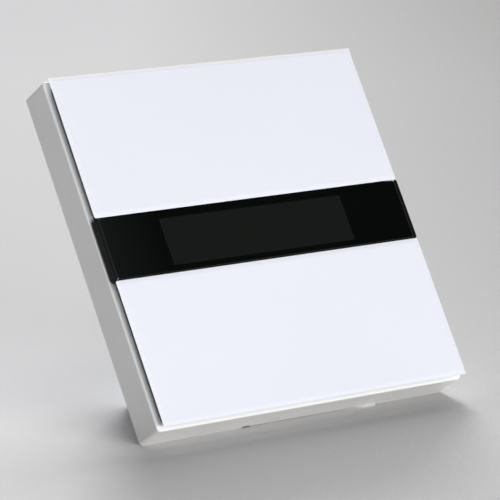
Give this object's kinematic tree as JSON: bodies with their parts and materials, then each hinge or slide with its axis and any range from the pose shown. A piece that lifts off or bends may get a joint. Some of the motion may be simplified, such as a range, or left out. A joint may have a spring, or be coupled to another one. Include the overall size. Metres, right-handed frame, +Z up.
{
  "type": "smart light switch",
  "caption": "Square wall light switch with two wide rocker plates, a black glass display band between them, a raised frame, a steel support plate and a rear box with screw terminals.",
  "frame": {"origin": "middle of the wall plane, halfway between the two box screw slots", "axes": "+X to the right as seen from the room, +Z up the wall, +Y into the wall; the face looks along -Y"},
  "size_m": [0.086, 0.0376, 0.086],
  "materials": {
    "frame_white": "satin",
    "plate_white": "gloss",
    "carrier_white": "matt",
    "lens_black_glass": "polished",
    "display_dark": "gloss",
    "holder_black": "matt",
    "housing_white": "matt",
    "rear_housing_grey": "matt",
    "board_green": "solder mask",
    "chip_black": "matt",
    "shield_tin": "tin plated",
    "flex_amber": "film",
    "connector_black": "matt",
    "pin_brass": "plated",
    "plunger_white": "matt",
    "spring_steel": "bright",
    "zinc_steel": "zinc plated",
    "relay_black": "satin",
    "ferrite_dark": "matt",
    "can_dark": "sleeve",
    "varistor_blue": "coated",
    "fuse_glass": "ceramic",
    "terminal_green": "matt"
  },
  "bodies": {
    "switch_body": {"board_components": "chip_black", "control_board": "board_green", "display_flex": "flex_amber", "display_flex_connector": "connector_black", "display_holder": "holder_black", "display_lens": "lens_black_glass", "display_panel": "display_dark", "frame": "frame_white", "front_housing": "housing_white", "fuse": "fuse_glass", "header_pins": "pin_brass", "header_socket": "connector_black", "holder_screws": "zinc_steel", "left_relay": "relay_black", "lower_left_tact_switch": "chip_black", "lower_return_spring": "spring_steel", "lower_right_tact_switch": "chip_black", "microcontroller": "chip_black", "pin_header": "connector_black", "power_board": "board_green", "radio_module": "board_green", "radio_shield": "shield_tin", "rear_housing": "rear_housing_grey", "rear_housing_lid": "rear_housing_grey", "right_relay": "relay_black", "storage_capacitor": "can_dark", "support_plate": "zinc_steel", "support_plate_screws": "zinc_steel", "terminal_block": "terminal_green", "terminal_cages": "pin_brass", "terminal_screws": "zinc_steel", "transformer": "ferrite_dark", "upper_left_tact_switch": "chip_black", "upper_return_spring": "spring_steel", "upper_right_tact_switch": "chip_black", "varistor": "varistor_blue"},
    "upper_rocker": {"upper_rocker_plate": "plate_white", "upper_rocker_carrier": "carrier_white"},
    "lower_rocker": {"lower_rocker_plate": "plate_white", "lower_rocker_carrier": "carrier_white"},
    "upper_left_plunger": {"upper_left_tact_plunger": "plunger_white"},
    "upper_right_plunger": {"upper_right_tact_plunger": "plunger_white"},
    "lower_left_plunger": {"lower_left_tact_plunger": "plunger_white"},
    "lower_right_plunger": {"lower_right_tact_plunger": "plunger_white"}
  },
  "joints": [
    {"name": "upper_rocker_hinge", "type": "hinge", "parent": "switch_body", "child": "upper_rocker", "pos_m": [0, -0.007, 0.0101], "axis": [-1, 0, 0], "range_deg": [0, 1.2], "stiffness_Nm_per_rad": 2, "springref_deg": -0.69, "deforming": ["upper_return_spring"]},
    {"name": "lower_rocker_hinge", "type": "hinge", "parent": "switch_body", "child": "lower_rocker", "pos_m": [0, -0.007, -0.0101], "axis": [1, 0, 0], "range_deg": [0, 1.2], "stiffness_Nm_per_rad": 2, "springref_deg": -0.69, "deforming": ["lower_return_spring"]},
    {"name": "upper_left_plunger_slide", "type": "slide", "parent": "switch_body", "child": "upper_left_plunger", "axis": [0, 1, 0], "range_m": [0, 0.0004]},
    {"name": "upper_right_plunger_slide", "type": "slide", "parent": "switch_body", "child": "upper_right_plunger", "axis": [0, 1, 0], "range_m": [0, 0.0004]},
    {"name": "lower_left_plunger_slide", "type": "slide", "parent": "switch_body", "child": "lower_left_plunger", "axis": [0, 1, 0], "range_m": [0, 0.0004]},
    {"name": "lower_right_plunger_slide", "type": "slide", "parent": "switch_body", "child": "lower_right_plunger", "axis": [0, 1, 0], "range_m": [0, 0.0004]}
  ],
  "couplings": [
    {"joint": "upper_left_plunger_slide", "follows": "upper_rocker_hinge", "m_per_rad": 0.0189},
    {"joint": "upper_right_plunger_slide", "follows": "upper_rocker_hinge", "m_per_rad": 0.0189},
    {"joint": "lower_left_plunger_slide", "follows": "lower_rocker_hinge", "m_per_rad": 0.0189},
    {"joint": "lower_right_plunger_slide", "follows": "lower_rocker_hinge", "m_per_rad": 0.0189}
  ]
}
